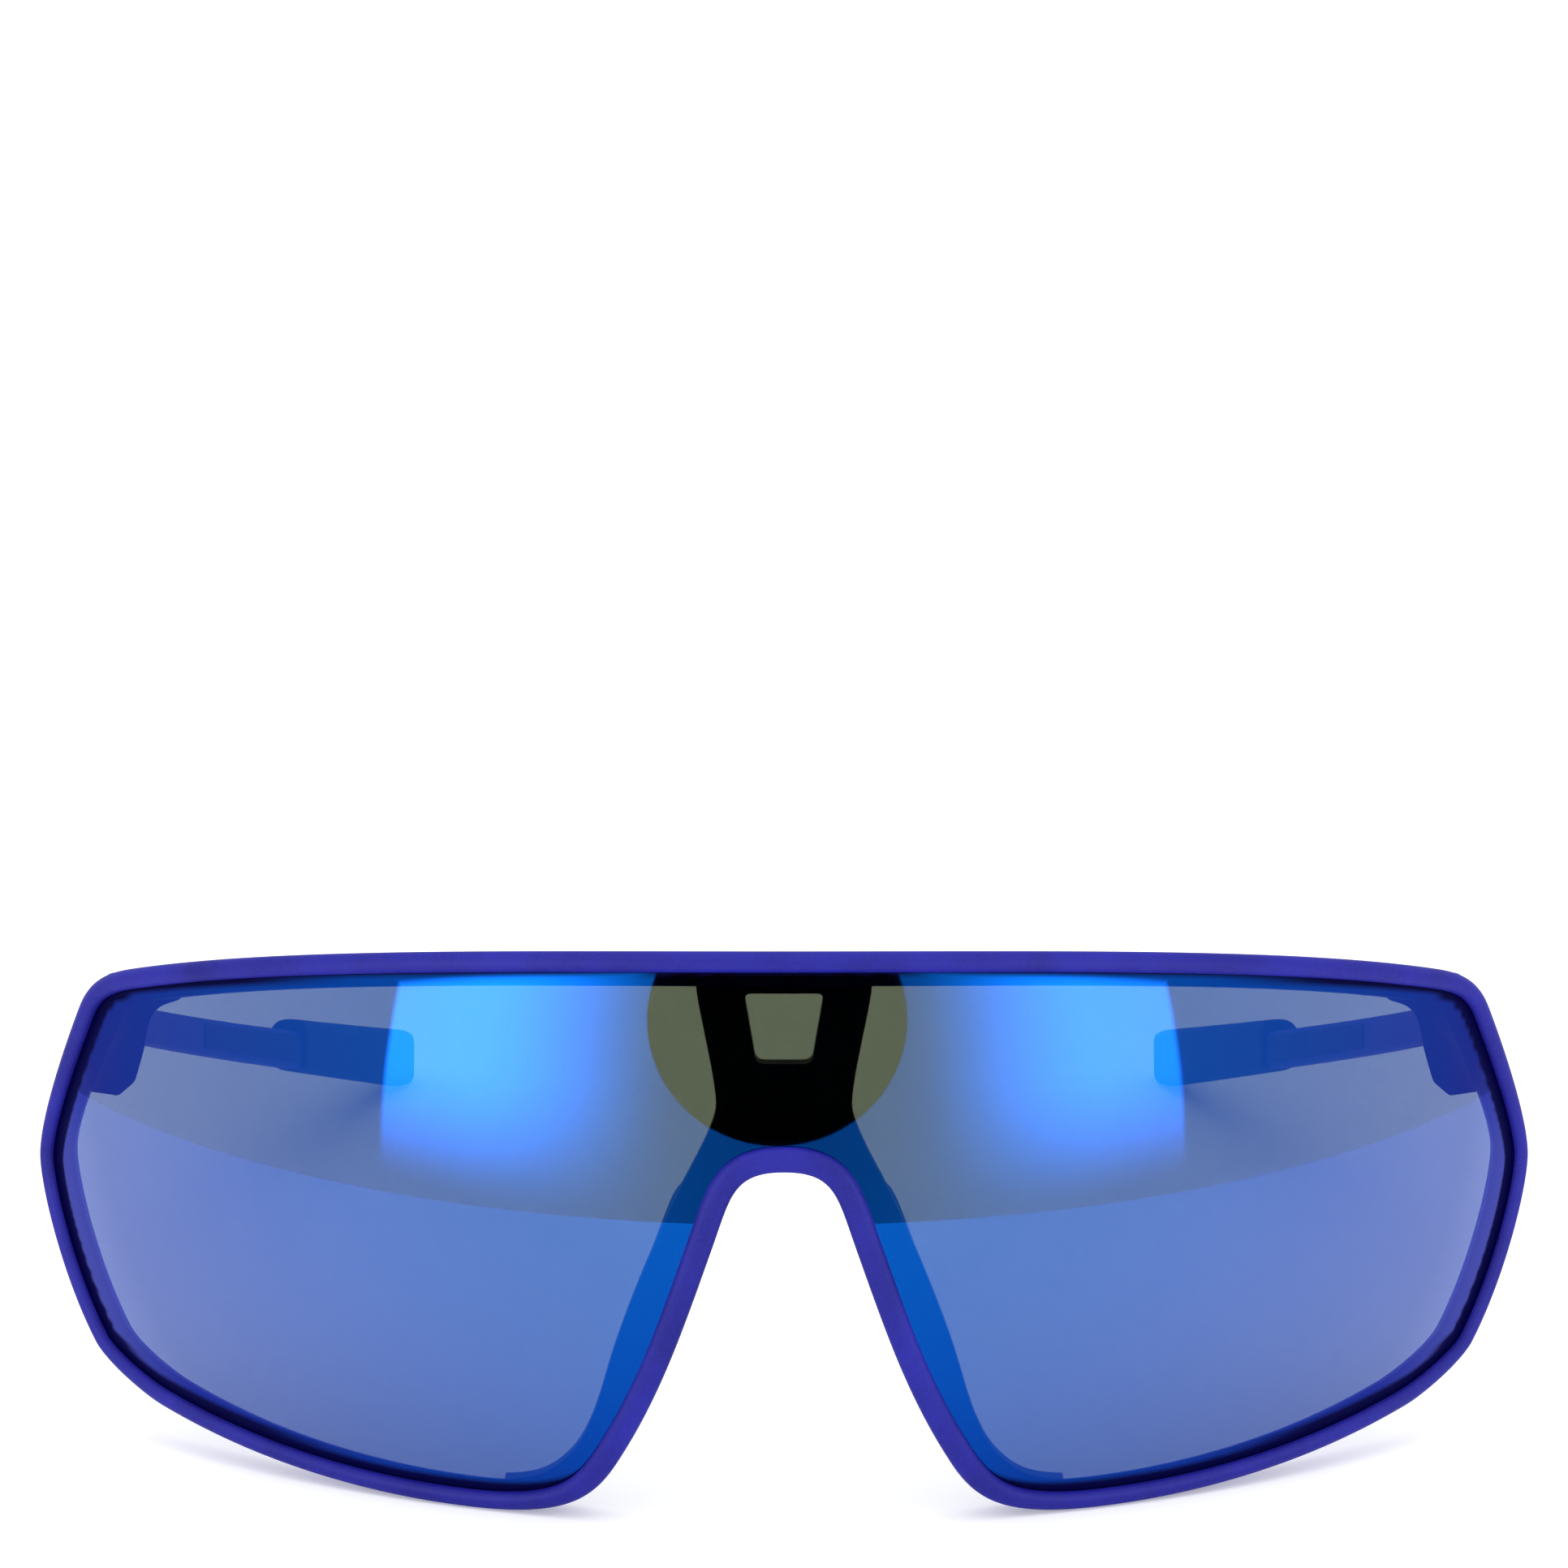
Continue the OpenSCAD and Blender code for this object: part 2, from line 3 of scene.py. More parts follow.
import bmesh
import bpy
import numpy as np
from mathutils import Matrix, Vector


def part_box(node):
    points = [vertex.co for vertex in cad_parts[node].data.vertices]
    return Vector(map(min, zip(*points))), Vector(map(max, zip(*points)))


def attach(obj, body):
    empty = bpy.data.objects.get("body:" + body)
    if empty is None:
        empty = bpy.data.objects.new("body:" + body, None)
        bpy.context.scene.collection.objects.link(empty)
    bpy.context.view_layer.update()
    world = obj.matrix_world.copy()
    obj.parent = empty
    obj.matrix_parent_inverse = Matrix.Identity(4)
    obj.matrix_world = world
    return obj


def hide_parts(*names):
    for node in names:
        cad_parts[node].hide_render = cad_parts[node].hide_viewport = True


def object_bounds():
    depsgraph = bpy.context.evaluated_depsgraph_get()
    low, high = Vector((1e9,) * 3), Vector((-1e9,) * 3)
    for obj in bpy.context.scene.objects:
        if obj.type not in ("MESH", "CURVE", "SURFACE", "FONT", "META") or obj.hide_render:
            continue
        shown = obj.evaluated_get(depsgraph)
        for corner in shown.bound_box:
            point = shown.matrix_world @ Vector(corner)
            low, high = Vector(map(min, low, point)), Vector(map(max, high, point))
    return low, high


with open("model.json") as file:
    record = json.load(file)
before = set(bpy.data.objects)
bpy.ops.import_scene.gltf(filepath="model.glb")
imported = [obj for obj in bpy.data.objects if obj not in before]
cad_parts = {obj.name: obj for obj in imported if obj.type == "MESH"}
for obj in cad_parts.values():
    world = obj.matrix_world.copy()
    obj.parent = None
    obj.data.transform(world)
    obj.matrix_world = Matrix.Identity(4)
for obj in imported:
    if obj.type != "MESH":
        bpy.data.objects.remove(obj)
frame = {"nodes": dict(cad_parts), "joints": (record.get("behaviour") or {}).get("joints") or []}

cad_low, cad_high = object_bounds()

# ---- Front rim -------------------------------------------------------------------------
# The front is one injection moulding in violet-blue nylon that runs right round the
# shield and turns in at the nose. It has a crowned face, a groove that grips the lens,
# and a flange behind it. Sizes here are in millimetres.

MM = 0.001
lens_r = 92.0
lens_t = 2.0
lens_gap = 0.1
crown = 1.1
lip = crown / 2
groove = 0.9
flange_t = 1.1
back = lens_t + 2 * lens_gap + flange_t
edge_height = 0.5
half_w, front_h = 71.1, 53.3
# The lens's foremost place lies this far behind the rim's.
rim_stands_proud = 0.72
centre = np.array([0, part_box("front_frame")[0].y / MM + rim_stands_proud + lens_r, 23.6])

# x, z, heading, reach behind, reach ahead, face width, flange, width of the shade painted
# on the lens's edge, bevel of the flange's back
knots = np.array([
    [0, front_h, 0, 0, 21.5, 1.9, 1.1, 0.1, 0],
    [half_w - 11, front_h - 6.8, -18, 17, 3, 1.9, 1.0, 0.5, 0],
    [half_w - 4.5, front_h - 11.8, -68, 3.5, 4, 1.9, 0.5, 1.4, 0.5],
    [half_w, 26.2, -90, 3.5, 3.5, 1.5, 0.2, 1.5, 1.3],
    [half_w - 5.5, 8.8, -120, 6, 2, 1.5, 0.2, 1.4, 1.3],
    [half_w - 12.4, 4.2, -163, 2, 10, 1.7, -0.1, 1.2, 0.9],
    [29, 0, 180, 10, 8.5, 1.7, -0.15, 1.1, 0.8],
    [15.2, 5.8, 120, 5, 8, 2.3, 0.3, -0.4, 0],
    [6.4, 27.1, 109, 9, 5, 2.3, 0.3, -0.4, 0],
    [0, 34, 180, 4.5, 0, 2.3, 0.3, -0.4, 0],
])
per_stretch = 40


def unit(v):
    """Vectors brought to length one: v / |v|."""
    return v / np.linalg.norm(v, axis=-1, keepdims=True)


def eased(t):
    """A smooth step, t^2 (3 - 2t), held at 0 and 1 outside its range."""
    t = np.clip(t, 0, 1)
    return t * t * (3 - 2 * t)


def curve(knots, steps):
    """Points along cubics between knots, with any further columns eased between them.

    A stretch is (1-t)^3 a + 3(1-t)^2 t b + 3(1-t) t^2 c + t^3 d. Its inner points b and c
    lie on the headings of the knots a and d, at their reaches.
    """
    angle = np.radians(knots[:, 2:3])
    aim = np.hstack([np.cos(angle), np.sin(angle)])
    a, d = knots[:-1, None, :2], knots[1:, None, :2]
    b = a + (knots[:-1, 4:5] * aim[:-1])[:, None]
    c = d - (knots[1:, 3:4] * aim[1:])[:, None]
    t = np.arange(steps)[None, :, None] / steps
    place = (1 - t) ** 3 * a + 3 * (1 - t) ** 2 * t * b + 3 * (1 - t) * t * t * c + t**3 * d
    more = knots[:-1, None, 5:] * (1 - eased(t)) + knots[1:, None, 5:] * eased(t)
    points = np.concatenate([place, more], -1).reshape(-1, knots.shape[1] - 3)
    return np.vstack([points, np.delete(knots[-1], [2, 3, 4])])


half = curve(knots, per_stretch)
ring = np.vstack([half, half[-2:0:-1] * [-1, 1, 1, 1, 1, 1]])
face_w, flange_w, groove_shade_w, bevel = ring[:, 2:].T


def on_sphere(xz, r):
    """The front point over x, z of the sphere of radius r: y = cy - sqrt(r^2 - x^2 - (z - cz)^2)."""
    x, z = xz[..., 0], xz[..., 1]
    y = centre[1] - np.sqrt(r * r - x * x - (z - centre[2]) ** 2)
    return np.stack([x, y, z], -1)


outline = on_sphere(ring, lens_r + edge_height)
outward = unit(outline - centre)
inward = unit(np.cross(unit(np.roll(outline, -1, 0) - np.roll(outline, 1, 0)), outward))


def at(stations, distance, height):
    """Points in from the outline along the sphere: c + (R + h)(cos a . out + sin a . in), a = d / R."""
    angle = np.asarray(distance)[..., None] / lens_r
    reach = lens_r + np.asarray(height)[..., None]
    lift = (len(stations),) + (1,) * (angle.ndim - 2) + (3,)
    out, into = outward[stations].reshape(lift), inward[stations].reshape(lift)
    return centre + reach * (np.cos(angle) * out + np.sin(angle) * into)


def rounded(corners, radii, steps):
    """A closed outline whose corners are worked into arcs.

    Each is (1-t)^2 a + 2(1-t) t p + t^2 b. The ends a and b lie a radius before and after
    the corner p, or half a side where the side is shorter.
    """
    arms = [np.roll(corners, 1, -2) - corners, np.roll(corners, -1, -2) - corners]
    ends = []
    for arm in arms:
        length = np.linalg.norm(arm, axis=-1, keepdims=True)
        share = np.minimum(np.asarray(radii)[:, None], 0.49 * length) / np.maximum(length, 1e-9)
        ends.append((corners + arm * share)[..., None, :])
    t = np.linspace(0, 1, steps)[:, None]
    arcs = (1 - t) ** 2 * ends[0] + 2 * (1 - t) * t * corners[..., None, :] + t * t * ends[1]
    return arcs.reshape(*corners.shape[:-2], -1, corners.shape[-1])


def stack(*columns):
    """Joins columns, spread to one length, into points: the k-th value of each makes point k."""
    return np.stack(np.broadcast_arrays(*columns), -1)


def skin(rows, columns, loop=True):
    """Quads over a grid of rows whose columns close on themselves; the rows close if loop."""
    i = np.arange(rows if loop else rows - 1)[:, None]
    j = np.arange(columns)[None]
    next_i, next_j = (i + 1) % rows, (j + 1) % columns
    corners = [i * columns + j, i * columns + next_j, next_i * columns + next_j, next_i * columns + j]
    return np.stack(corners, -1).reshape(-1, 4)


def add_piece(name, points, faces, finish, marks=None, sharp=50):
    """Makes a mesh of points in millimetres and turns its faces outwards.

    Points that share a place are merged. Edges that bend by more than the angle sharp
    stay crisp, and marks are values kept on the points for the finish to read.
    """
    mesh = bpy.data.meshes.new(name)
    mesh.from_pydata(np.asarray(points).reshape(-1, 3) * MM, [], faces)
    for mark, values in (marks or {}).items():
        layer = mesh.attributes.new(mark, "FLOAT", "POINT")
        layer.data.foreach_set("value", np.asarray(values, np.float32).ravel())
    work = bmesh.new()
    work.from_mesh(mesh)
    bmesh.ops.remove_doubles(work, verts=work.verts, dist=1e-7)
    bmesh.ops.recalc_face_normals(work, faces=work.faces)
    work.to_mesh(mesh)
    work.free()
    mesh.shade_smooth()
    mesh.set_sharp_from_angle(angle=np.radians(sharp))
    mesh.materials.append(finish)
    piece = bpy.data.objects.new(name, mesh)
    bpy.context.scene.collection.objects.link(piece)
    return piece


def moulded(name, deep, pale, roughness, sheen, grain, grain_depth):
    """A moulded plastic or rubber: fine grain from a noise, clouded colour and gloss.

    The colour runs from deep to pale with a broad noise, and pales a little where the
    grain stands up. Grain is the size of a speck and grain_depth its height, in millimetres.
    """
    made = bpy.data.materials.new(name)
    made.use_nodes = True
    nodes, links = made.node_tree.nodes, made.node_tree.links
    shader = nodes["Principled BSDF"]
    place = nodes.new("ShaderNodeTexCoord")
    speck = nodes.new("ShaderNodeTexNoise")
    speck.inputs["Scale"].default_value = 1 / (grain * MM)
    speck.inputs["Detail"].default_value = 4
    speck.inputs["Roughness"].default_value = 0.65
    cloud = nodes.new("ShaderNodeTexNoise")
    cloud.inputs["Scale"].default_value = 160
    cloud.inputs["Detail"].default_value = 3
    blend = nodes.new("ShaderNodeMath")
    blend.operation = "MULTIPLY_ADD"
    blend.inputs[1].default_value = 0.6
    colour = nodes.new("ShaderNodeValToRGB")
    colour.color_ramp.elements[0].position = 0.4
    colour.color_ramp.elements[0].color = (*deep, 1)
    colour.color_ramp.elements[1].position = 1.0
    colour.color_ramp.elements[1].color = (*pale, 1)
    gloss = nodes.new("ShaderNodeMapRange")
    gloss.inputs["To Min"].default_value = roughness - 0.07
    gloss.inputs["To Max"].default_value = roughness + 0.07
    relief = nodes.new("ShaderNodeBump")
    relief.inputs["Strength"].default_value = 0.6
    relief.inputs["Distance"].default_value = grain_depth * MM
    for texture in (speck, cloud):
        links.new(place.outputs["Object"], texture.inputs["Vector"])
    links.new(speck.outputs["Fac"], blend.inputs[0])
    links.new(cloud.outputs["Fac"], blend.inputs[2])
    links.new(blend.outputs["Value"], colour.inputs["Fac"])
    links.new(colour.outputs["Color"], shader.inputs["Base Color"])
    links.new(cloud.outputs["Fac"], gloss.inputs["Value"])
    links.new(gloss.outputs["Result"], shader.inputs["Roughness"])
    links.new(speck.outputs["Fac"], relief.inputs["Height"])
    links.new(relief.outputs["Normal"], shader.inputs["Normal"])
    shader.inputs["Specular IOR Level"].default_value = sheen
    return made


frame_finish = moulded(
    "violet_blue_nylon", deep=(0.003, 0.003, 0.18), pale=(0.013, 0.012, 0.34),
    roughness=0.5, sheen=0.24, grain=0.35, grain_depth=0.03,
)


def rim_profile(w, f, bevel):
    """Corners round the rim's section, as distance in from the edge and height over the lens."""
    corners = [
        (0.2, -back), (0, 0.5 - back), (0, edge_height), (0.25, crown - 0.25), (w * 0.45, crown),
        (w - 0.3, crown - 0.12), (w, lip), (w, lens_gap), (groove, lens_gap),
        (groove, -lens_t - lens_gap), (w + f, -lens_t - lens_gap), (w + f - bevel, -back),
    ]
    return np.stack([stack(d + 0 * w, h + 0 * w) for d, h in corners], 1)


rim_radii = [0.2, 0.2, 0.3, 0.35, 0.5, 0.35, 0.25, 0.05, 0.05, 0.05, 0.25, 0.25]
every = np.arange(len(ring))
rim = rounded(rim_profile(face_w, flange_w, bevel), rim_radii, 5)
rim_points = at(every, rim[..., 0], rim[..., 1])
front_rim = add_piece("front_rim", rim_points, skin(*rim_points.shape[:2]), frame_finish)
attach(front_rim, "front")
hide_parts("front_frame")

# ---- Mirror shield ---------------------------------------------------------------------
# The lens is one polycarbonate shield, part of a sphere, snapped into the rim's groove.
# Its body is tinted grey-brown, and a vacuum coat on its outer face mirrors blue that turns
# violet at a slant. A near-black line painted along its edge inside the rim is painted shade
# of the rim's groove and a painted reflection of the rim's dark inner wall.

lens_edge = 1.0
shade_fade = 0.25
columns, rows, edge_places = 480, 48, 2600
cut = at(every, np.full(len(ring), lens_edge), np.zeros(len(ring)))
half_cut = cut[: len(half)]
widest = int(np.argmax(half_cut[:, 0]))
upper, lower = half_cut[: widest + 1], half_cut[widest:][::-1]
swing = np.linspace(-np.pi / 2, np.pi / 2, columns + 1)
x = half_cut[widest, 0] * np.sin(swing)
low_z = np.interp(np.abs(x), lower[:, 0], lower[:, 2])
high_z = np.interp(np.abs(x), upper[:, 0], upper[:, 2])
rise = (1 - np.cos(np.linspace(0, np.pi, rows + 1))) / 2
shield_xz = stack(x[:, None], low_z[:, None] + (high_z - low_z)[:, None] * rise)
outer_face = on_sphere(shield_xz, lens_r)
inner_face = centre + (outer_face - centre) * (1 - lens_t / lens_r)
# Each column of the grid is a closed ring: up the outer face and down the inner one.
shield_rings = np.concatenate([outer_face, inner_face[:, ::-1]], 1)


def along(line, count):
    """Places evenly spaced along a line by the length of its first three columns, or two."""
    size = min(3, line.shape[1])
    run = np.concatenate([[0], np.cumsum(np.linalg.norm(np.diff(line[:, :size], axis=0), axis=1))])
    place = np.linspace(0, run[-1], count)
    return np.stack([np.interp(place, run, line[:, k]) for k in range(line.shape[1])], -1)


# The fourth column is how far in the painted shade reaches along the lens's edge. It stands for the
# rim's groove in shadow and its dark reflection: narrow at the top and nose, widest at the sides.
edge_line = np.column_stack([cut, face_w - lens_edge + groove_shade_w])
edge_line = along(np.vstack([edge_line, edge_line[:1]]), edge_places)


def shade_near_edge(points):
    """How much painted groove shade each point gets: 1 within the shade's width of the cut edge, fading
    to 0.
    """
    gaps = np.linalg.norm(points[:, None] - edge_line[None, :, :3], axis=-1)
    bare = gaps.min(1) - edge_line[gaps.argmin(1), 3]
    return 1 - eased(0.5 + bare / shade_fade)


# Painted groove shade, kept on the points of the outer face and the inner face alike.
edge_shade = np.stack([shade_near_edge(column) for column in outer_face])
edge_shade = np.concatenate([edge_shade, edge_shade[:, ::-1]], 1)


def mirror_coat():
    """The mirrored outer face: a thin metal coat over a see-through body.

    The coat's colour follows the facing of the surface, from blue to violet to silver. Along the
    edge, edge_shade swaps in a near-black painted shade for the rim's groove and its reflection.
    """
    made = bpy.data.materials.new("blue_mirror_coat")
    made.use_nodes = True
    nodes, links = made.node_tree.nodes, made.node_tree.links
    coat = nodes["Principled BSDF"]
    out = nodes["Material Output"]
    coat.inputs["Metallic"].default_value = 1
    facing = nodes.new("ShaderNodeLayerWeight")
    facing.inputs["Blend"].default_value = 0.5
    colour = nodes.new("ShaderNodeValToRGB")
    ramp = colour.color_ramp
    ramp.elements[0].position = 0.02
    ramp.elements[0].color = (0.003, 0.150, 0.74, 1)
    ramp.elements[1].position = 1.0
    ramp.elements[1].color = (0.90, 0.91, 0.96, 1)
    for position, tone in (
        (0.15, (0.005, 0.110, 0.70)), (0.4, (0.022, 0.045, 0.52)), (0.7, (0.25, 0.25, 0.75)),
    ):
        ramp.elements.new(position).color = (*tone, 1)
    clear = nodes.new("ShaderNodeValToRGB")
    clear.color_ramp.elements[0].position = 0.06
    clear.color_ramp.elements[0].color = (0.345, 0.350, 0.255, 1)
    clear.color_ramp.elements[1].position = 0.45
    clear.color_ramp.elements[1].color = (0.60, 0.66, 0.80, 1)
    place = nodes.new("ShaderNodeTexCoord")
    smear = nodes.new("ShaderNodeTexNoise")
    smear.inputs["Scale"].default_value = 70
    smear.inputs["Detail"].default_value = 5
    haze = nodes.new("ShaderNodeMapRange")
    haze.inputs["From Min"].default_value = 0.35
    haze.inputs["From Max"].default_value = 0.75
    haze.inputs["To Min"].default_value = 0.015
    haze.inputs["To Max"].default_value = 0.045
    body = nodes.new("ShaderNodeBsdfTransparent")
    share = nodes.new("ShaderNodeMixShader")
    share.inputs["Fac"].default_value = 0.6
    # A near-black finish of painted shade: the rim's groove in shadow and the rim's dark inner wall
    # mirrored in the lens, mixed in along the edge by edge_shade.
    painted_groove_shade = nodes.new("ShaderNodeBsdfPrincipled")
    painted_groove_shade.inputs["Base Color"].default_value = (0.0005, 0.0005, 0.045, 1)
    painted_groove_shade.inputs["Roughness"].default_value = 0.45
    painted_groove_shade.inputs["Specular IOR Level"].default_value = 0.03
    edge = nodes.new("ShaderNodeAttribute")
    edge.attribute_name = "edge_shade"
    whole = nodes.new("ShaderNodeMixShader")
    links.new(facing.outputs["Facing"], colour.inputs["Fac"])
    links.new(colour.outputs["Color"], coat.inputs["Base Color"])
    links.new(facing.outputs["Facing"], clear.inputs["Fac"])
    links.new(clear.outputs["Color"], body.inputs["Color"])
    links.new(place.outputs["Object"], smear.inputs["Vector"])
    links.new(smear.outputs["Fac"], haze.inputs["Value"])
    links.new(haze.outputs["Result"], coat.inputs["Roughness"])
    links.new(body.outputs["BSDF"], share.inputs[1])
    links.new(coat.outputs["BSDF"], share.inputs[2])
    links.new(edge.outputs["Fac"], whole.inputs["Fac"])
    links.new(share.outputs["Shader"], whole.inputs[1])
    links.new(painted_groove_shade.outputs["BSDF"], whole.inputs[2])
    links.new(whole.outputs["Shader"], out.inputs["Surface"])
    return made


def tinted_back():
    """The lens's bare inner face: a grey-brown tint with a faint polished shine."""
    made = bpy.data.materials.new("tinted_lens_back")
    made.use_nodes = True
    nodes, links = made.node_tree.nodes, made.node_tree.links
    shine = nodes["Principled BSDF"]
    out = nodes["Material Output"]
    shine.inputs["Base Color"].default_value = (0.002, 0.004, 0.010, 1)
    shine.inputs["Specular IOR Level"].default_value = 0.3
    place = nodes.new("ShaderNodeTexCoord")
    smear = nodes.new("ShaderNodeTexNoise")
    smear.inputs["Scale"].default_value = 70
    haze = nodes.new("ShaderNodeMapRange")
    haze.inputs["To Min"].default_value = 0.03
    haze.inputs["To Max"].default_value = 0.12
    body = nodes.new("ShaderNodeBsdfTransparent")
    body.inputs["Color"].default_value = (0.60, 0.70, 0.62, 1)
    share = nodes.new("ShaderNodeMixShader")
    share.inputs["Fac"].default_value = 0.12
    links.new(place.outputs["Object"], smear.inputs["Vector"])
    links.new(smear.outputs["Fac"], haze.inputs["Value"])
    links.new(haze.outputs["Result"], shine.inputs["Roughness"])
    links.new(body.outputs["BSDF"], share.inputs[1])
    links.new(shine.outputs["BSDF"], share.inputs[2])
    links.new(share.outputs["Shader"], out.inputs["Surface"])
    return made


mirror_shield = add_piece(
    "mirror_shield", shield_rings, skin(*shield_rings.shape[:2], loop=False), mirror_coat(),
    marks={"edge_shade": edge_shade},
)
mirror_shield.data.materials.append(tinted_back())
# Faces nearer the sphere's centre than the middle of the wall are the lens's back and edge.
middles = np.zeros(len(mirror_shield.data.polygons) * 3)
mirror_shield.data.polygons.foreach_get("center", middles)
from_centre = np.linalg.norm(middles.reshape(-1, 3) / MM - centre, axis=1)
is_back = (from_centre < lens_r - 0.2).astype(np.int32)
mirror_shield.data.polygons.foreach_set("material_index", is_back)
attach(mirror_shield, "front")
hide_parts("shield_lens")

# ---- Nose carrier ----------------------------------------------------------------------
# A separate thin moulding clips on behind the lens. A post hangs from the top flange,
# with a window that vents the lens, and two wings run down beside the nose notch.

seat_gap = 0.05
carrier_t = 1.6
carrier_front = lens_t + lens_gap + seat_gap
carrier_back = carrier_front + carrier_t
wing_end = int(6.1 * per_stretch)
notch = np.arange(wing_end, len(half))
notch_in = (face_w + flange_w - 0.6 * bevel)[notch] + seat_gap
notch_line = at(notch, notch_in, np.full(len(notch), -back))[:, [0, 2]]
post_z, post_half_w = 49.4, 7.9
wing_low = notch_line[0] + [0.05, 0.12]
wing_knots = np.array([
    [post_half_w, post_z, -97, 0, 2.5],
    [6.1, post_z - 10.2, -90, 2.5, 2],
    [9.9, 30.5, -66, 2.5, 5],
    [15.8, 15, -74, 5, 2.5],
    [19.5, 5.6, -50, 3.0, 2.6],
    [wing_low[0], wing_low[1], -8, 3.4, 0],
])
wing_line = curve(wing_knots, 24)

# The strip between the notch and the outer line, from one wing's tip over the post to the
# other's. Places across it are matched: the top of the notch fans out to the post.
fan_in_z, fan_out_z = 33.5, 35.5
post_steps, wing_steps = 60, 70
shoulder = int(np.argmin(np.abs(notch_line[:, 1] - fan_in_z)))
post_part = int(np.argmin(np.abs(wing_line[:, 1] - fan_out_z)))
top_edge = stack(np.linspace(0, post_half_w, 12)[:-1], post_z)
near = np.vstack([
    along(notch_line[shoulder:][::-1], post_steps)[:-1],
    along(notch_line[: shoulder + 1][::-1], wing_steps),
])
far = np.vstack([
    along(np.vstack([top_edge, wing_line[: post_part + 1]]), post_steps)[:-1],
    along(wing_line[post_part:], wing_steps),
])
near = np.vstack([near[:0:-1] * [-1, 1], near])
far = np.vstack([far[:0:-1] * [-1, 1], far])
strip_w = np.linalg.norm(far - near, axis=1)
bead = 0.35
carrier_corners = np.stack([
    stack(along_w * strip_w, np.full(len(strip_w), depth))
    for along_w, depth in (
        (0, -carrier_front), (0.33, -carrier_front), (0.66, -carrier_front), (1, -carrier_front),
        (1, -carrier_back), (0.66, -carrier_back), (0.33, -carrier_back), (0, -carrier_back),
    )
], 1)
section = rounded(carrier_corners, [bead, 0.01, 0.01, bead, bead, 0.01, 0.01, bead], 5)
share = (section[..., 0] / strip_w[:, None])[..., None]
carrier_xz = near[:, None] * (1 - share) + far[:, None] * share
carrier_points = on_sphere(carrier_xz, lens_r + section[..., 1])


def loft(rings):
    """Points and faces of a tube through a list of rings, closed by a face at each end."""
    count, size = rings.shape[:2]
    ends = [list(range(size)), list(range((count - 1) * size, count * size))]
    return rings, skin(count, size, loop=False).tolist() + ends


carrier_finish = moulded(
    "black_nylon", deep=(0.002, 0.002, 0.006), pale=(0.008, 0.008, 0.018),
    roughness=0.5, sheen=0.35, grain=0.3, grain_depth=0.02,
)
nose_carrier = add_piece("nose_carrier", *loft(carrier_points), carrier_finish)

# The window is cut out with a rounded wedge.
window_corners = np.array([(-3.6, 49.0), (3.6, 49.0), (2.5, 42.9), (-2.5, 42.9)])
window = rounded(window_corners, [0.7] * 4, 6)
depth_y = np.array([centre[1] - lens_r - 3, centre[1] - lens_r + 12])
wedge = stack(window[None, :, 0], depth_y[:, None], window[None, :, 1])
cutter = add_piece("window_cutter", *loft(wedge), carrier_finish)
boolean = nose_carrier.modifiers.new("window", "BOOLEAN")
boolean.object = cutter
boolean.operation = "DIFFERENCE"
boolean.solver = "EXACT"
evaluated = nose_carrier.evaluated_get(bpy.context.evaluated_depsgraph_get())
cut_mesh = bpy.data.meshes.new_from_object(evaluated)
nose_carrier.modifiers.clear()
nose_carrier.data = cut_mesh
bpy.data.objects.remove(cutter)
cut_mesh.set_sharp_from_angle(angle=np.radians(40))
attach(nose_carrier, "front")
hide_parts("nose_bridge")

# ---- Nose pads -------------------------------------------------------------------------
# Two soft rubber pads are bonded to the backs of the wings. Each is a curved leaf that
# flares sideways to its back edge, so that it lies flat on the side of the nose.

pad_t, pad_d, pad_flare = 1.5, 9.0, 1.5
pad_stations = np.arange(int(7.35 * per_stretch), int(8.25 * per_stretch) + 1)
u = np.linspace(0, 1, len(pad_stations))
full = 0.45 + 0.55 * np.sin(np.pi * u)
d, f = pad_d * full, pad_flare * full
seat_x, seat_h = 2.95, -carrier_back - seat_gap
pad_corners = np.stack([
    stack(seat_x + 0 * f, seat_h + 0 * d),
    stack(seat_x + f * 0.35, seat_h - d * 0.5),
    stack(seat_x + f, seat_h - d * 0.95),
    stack(seat_x + f + pad_t * 0.5, seat_h - d),
    stack(seat_x + f + pad_t, seat_h - d * 0.9),
    stack(seat_x + f * 0.45 + pad_t, seat_h - d * 0.5),
    stack(seat_x + pad_t + 0 * f, seat_h + 0 * d),
], 1)
pad_section = rounded(pad_corners, [0.2, 3, 0.8, 0.6, 0.8, 3, 0.2], 6)
# Both ends close in a round nose.
nose_in = np.sqrt(1 - np.abs(2 * u - 1) ** 8 * 0.96)[:, None, None]
pad_middle = pad_section.mean(1, keepdims=True)
pad_section = pad_middle + (pad_section - pad_middle) * nose_in
pad_points = at(pad_stations, pad_section[..., 0], pad_section[..., 1])
pad_finish = moulded(
    "black_pad_rubber", deep=(0.003, 0.003, 0.008), pale=(0.010, 0.010, 0.020),
    roughness=0.68, sheen=0.3, grain=0.5, grain_depth=0.02,
)
for side, sign in (("left", 1), ("right", -1)):
    pad = add_piece(f"nose_cushion_{side}", *loft(pad_points * [sign, 1, 1]), pad_finish)
    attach(pad, "front")
    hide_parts(f"nose_pad_{side}")

# ---- End blocks ------------------------------------------------------------------------
# A block of the frame's plastic carries each arm. It is fixed to the back of the rim at
# the upper outer corner, spreads along the top flange in a fillet, and ends at the hinge
# in a flat face with a round pocket for the barrel. It is drawn in the left arm's frame:
# the hinge axis along Z, the arm along +Y.

hinge = next(j for j in frame["joints"] if j["name"] == "arm_left_fold")
hinge_at = np.array(hinge["pos_m"]) / MM
lean_sin, lean_cos = hinge["axis"][1], hinge["axis"][2]


